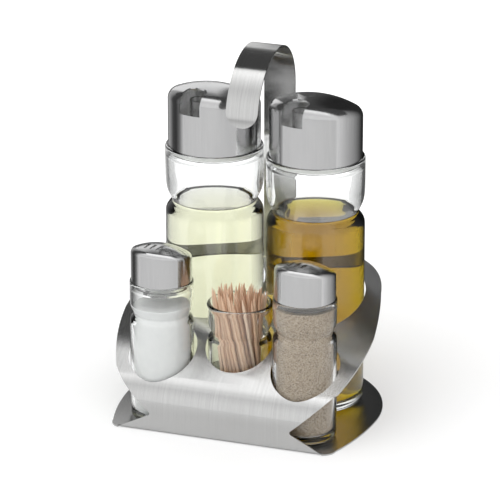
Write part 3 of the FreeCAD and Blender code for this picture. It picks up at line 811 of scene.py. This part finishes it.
def floor_material():
    """Matt white whose extra light shows only to the camera and in glass, less near the stand."""
    shader = Shader(
        "floor_white", Base_Color=(0.8, 0.8, 0.8, 1.0), Roughness=1.0, Specular_IOR_Level=0.0,
    )
    away = shader.add("ShaderNodeVectorMath", operation="LENGTH")
    shader.link(shader.place((1.0, 1.0, 1.0)), away.inputs[0])
    glow = shader.spread(away.outputs["Value"], *FLOOR_GLOW, *FLOOR_GLOW_REACH)
    seen = shader.rays("Is Camera Ray", "Is Transmission Ray")
    light = shader.add("ShaderNodeEmission")
    shader.link(shader.calculate("MULTIPLY", seen, glow), light.inputs["Strength"])
    both = shader.add("ShaderNodeAddShader")
    shader.link(shader.principled.outputs["BSDF"], both.inputs[0])
    shader.link(light.outputs["Emission"], both.inputs[1])
    shader.link(both.outputs["Shader"], shader.output.inputs["Surface"])
    return shader.material


def glow_shader(name, grey):
    """Flat grey that gives off its own light and reflects none."""
    return Shader(
        name, Base_Color=(0.0, 0.0, 0.0, 1.0), Roughness=1.0, Specular_IOR_Level=0.0,
        Emission_Color=(grey, grey, grey, 1.0), Emission_Strength=1.0,
    )


def stage_mesh(name, points, faces, material):
    """Stage piece from points in metres."""
    mesh = bpy.data.meshes.new(name)
    mesh.from_pydata([Vector(point) for point in points], [], faces)
    piece = bpy.data.objects.new(name, mesh)
    bpy.context.scene.collection.objects.link(piece)
    give(piece, material)
    return piece


def show_only(piece, in_glass):
    """Show a stage piece only through glass, or else only in reflections."""
    piece.visible_camera = False
    piece.visible_diffuse = False
    piece.visible_shadow = False
    piece.visible_volume_scatter = False
    piece.visible_glossy = not in_glass
    piece.visible_transmission = in_glass


def card(name, grey, corners):
    material = glow_shader(name + "_card", grey).material
    piece = stage_mesh(name, corners, [(0, 1, 2, 3)], material)
    show_only(piece, in_glass=False)


def wall_material(name, stops):
    """Grey by the angle about the stand's middle."""
    shader = glow_shader(name + "_wall", 1.0)
    first = stops[0][0]
    span = stops[-1][0] - first
    place = shader.add("ShaderNodeTexCoord")
    mapping = shader.add("ShaderNodeMapping")
    mapping.inputs["Rotation"].default_value = (0.0, 0.0, -math.radians(first + span / 2))
    shader.link(place.outputs["Object"], mapping.inputs["Vector"])
    axes = shader.add("ShaderNodeSeparateXYZ")
    shader.link(mapping.outputs["Vector"], axes.inputs["Vector"])
    angle = shader.calculate("ARCTAN2", axes.outputs["Y"], axes.outputs["X"])
    half = math.radians(span) / 2
    share = shader.spread(angle, 0.0, 1.0, -half, half)
    shifted = [(position - first, grey) for position, grey in stops]
    shader.feed("Emission Color", shader.ramp(share, grey_stops(shifted, span)))
    return shader.material


def side_wall(name, stops, in_glass=False):
    """Curved dark wall beside the stand, with a skirt on the floor."""
    first = stops[0][0]
    span = stops[-1][0] - first
    section = ((WALL_SKIRT, WALL_FOOT), (WALL_RADIUS, WALL_FOOT), (WALL_RADIUS, WALL_HEIGHT))
    points = []
    faces = []
    for index in range(WALL_PANELS + 1):
        c, s = unit(first + span * index / WALL_PANELS)
        for radius, height in section:
            points.append((radius * c, radius * s, height))
        if index < WALL_PANELS:
            near = len(section) * index
            far = near + len(section)
            faces.append((near, near + 1, far + 1, far))
            faces.append((near + 1, near + 2, far + 2, far + 1))
    piece = stage_mesh(name, points, faces, wall_material(name, stops))
    show_only(piece, in_glass)


def softbox(name, place, size, strength, target):
    """Rectangular lamp; strength is how bright its face is, where 1 is white."""
    lamp = bpy.data.lights.new(name, "AREA")
    lamp.shape = "RECTANGLE"
    lamp.size = size[0]
    lamp.size_y = size[1]
    lamp.energy = strength * math.pi * size[0] * size[1]
    piece = bpy.data.objects.new(name, lamp)
    bpy.context.scene.collection.objects.link(piece)
    way = Vector(place) - Vector(target)
    turn = way.to_track_quat("Z", "Y").to_matrix().to_4x4()
    piece.matrix_world = Matrix.Translation(place) @ turn
    return piece


def make_world():
    """White for the camera and through glass, a lit studio for gloss, a plain soft light for the rest."""
    world = bpy.data.worlds.new("studio")
    bpy.context.scene.world = world
    world.use_nodes = True
    nodes = Nodes(world.node_tree)
    background = world.node_tree.nodes["Background"]
    background.inputs["Color"].default_value = (1.0, 1.0, 1.0, 1.0)
    place = nodes.add("ShaderNodeTexCoord")
    axes = nodes.add("ShaderNodeSeparateXYZ")
    nodes.link(place.outputs["Generated"], axes.inputs["Vector"])
    front = nodes.calculate("MULTIPLY", axes.outputs["Y"], -1.0)
    angle = nodes.calculate("ARCTAN2", axes.outputs["Z"], front)
    share = nodes.spread(angle, 0.0, 1.0, 0.0, math.pi)
    stops = grey_stops([(position, grey / SKY_TOP) for position, grey in SKY_STOPS], 180)
    sky = nodes.calculate("MULTIPLY", nodes.ramp(share, stops), SKY_TOP)
    lit = nodes.spread(nodes.rays("Is Glossy Ray"), WORLD_LIGHT, sky)
    strength = nodes.spread(nodes.rays("Is Camera Ray", "Is Transmission Ray"), lit, 1.0)
    nodes.link(strength, background.inputs["Strength"])


def make_studio():
    make_world()
    reach = FLOOR_REACH
    floor = [(-reach, -reach, 0), (reach, -reach, 0), (reach, reach, 0), (-reach, reach, 0)]
    stage_mesh("floor", floor, [(0, 1, 2, 3)], floor_material())
    for name, (grey, corners) in CARDS.items():
        card(name, grey, corners)
    side_wall("right_side", RIGHT_WALL_STOPS)
    side_wall("left_side", LEFT_WALL_STOPS)
    side_wall("right_side_in_glass", RIGHT_GLASS_STOPS, in_glass=True)
    side_wall("left_side_in_glass", LEFT_GLASS_STOPS, in_glass=True)
    lamp = softbox("front_softbox", LAMP_PLACE, LAMP_SIZE, LAMP_STRENGTH, LAMP_TARGET)
    lamp.visible_glossy = False


def make_camera():
    """Camera at the photograph's place, looking along the fitted direction."""
    side_x = math.cos(VIEW_AZIMUTH)
    side_y = math.sin(VIEW_AZIMUTH)
    level = math.cos(VIEW_ELEVATION)
    right = Vector((side_x, side_y, 0))
    back = Vector((side_y * level, -side_x * level, math.sin(VIEW_ELEVATION)))
    up = back.cross(right)
    row = Vector((0, middle("salt_shaker_glass").y, 0))
    place = (right * VIEW_RIGHT + up * VIEW_UP + back * VIEW_DISTANCE + row) * MM
    turn = Matrix((right, up, back)).transposed().to_4x4()
    lens = bpy.data.cameras.new("camera")
    lens.sensor_width = SENSOR_WIDTH
    lens.lens = VIEW_LENS
    lens.clip_end = VIEW_REACH * MM
    camera = bpy.data.objects.new("camera", lens)
    camera.matrix_world = Matrix.Translation(place) @ turn
    bpy.context.scene.collection.objects.link(camera)
    bpy.context.scene.camera = camera


dress()
make_studio()
make_camera()
bpy.context.scene.view_settings.view_transform = "Standard"
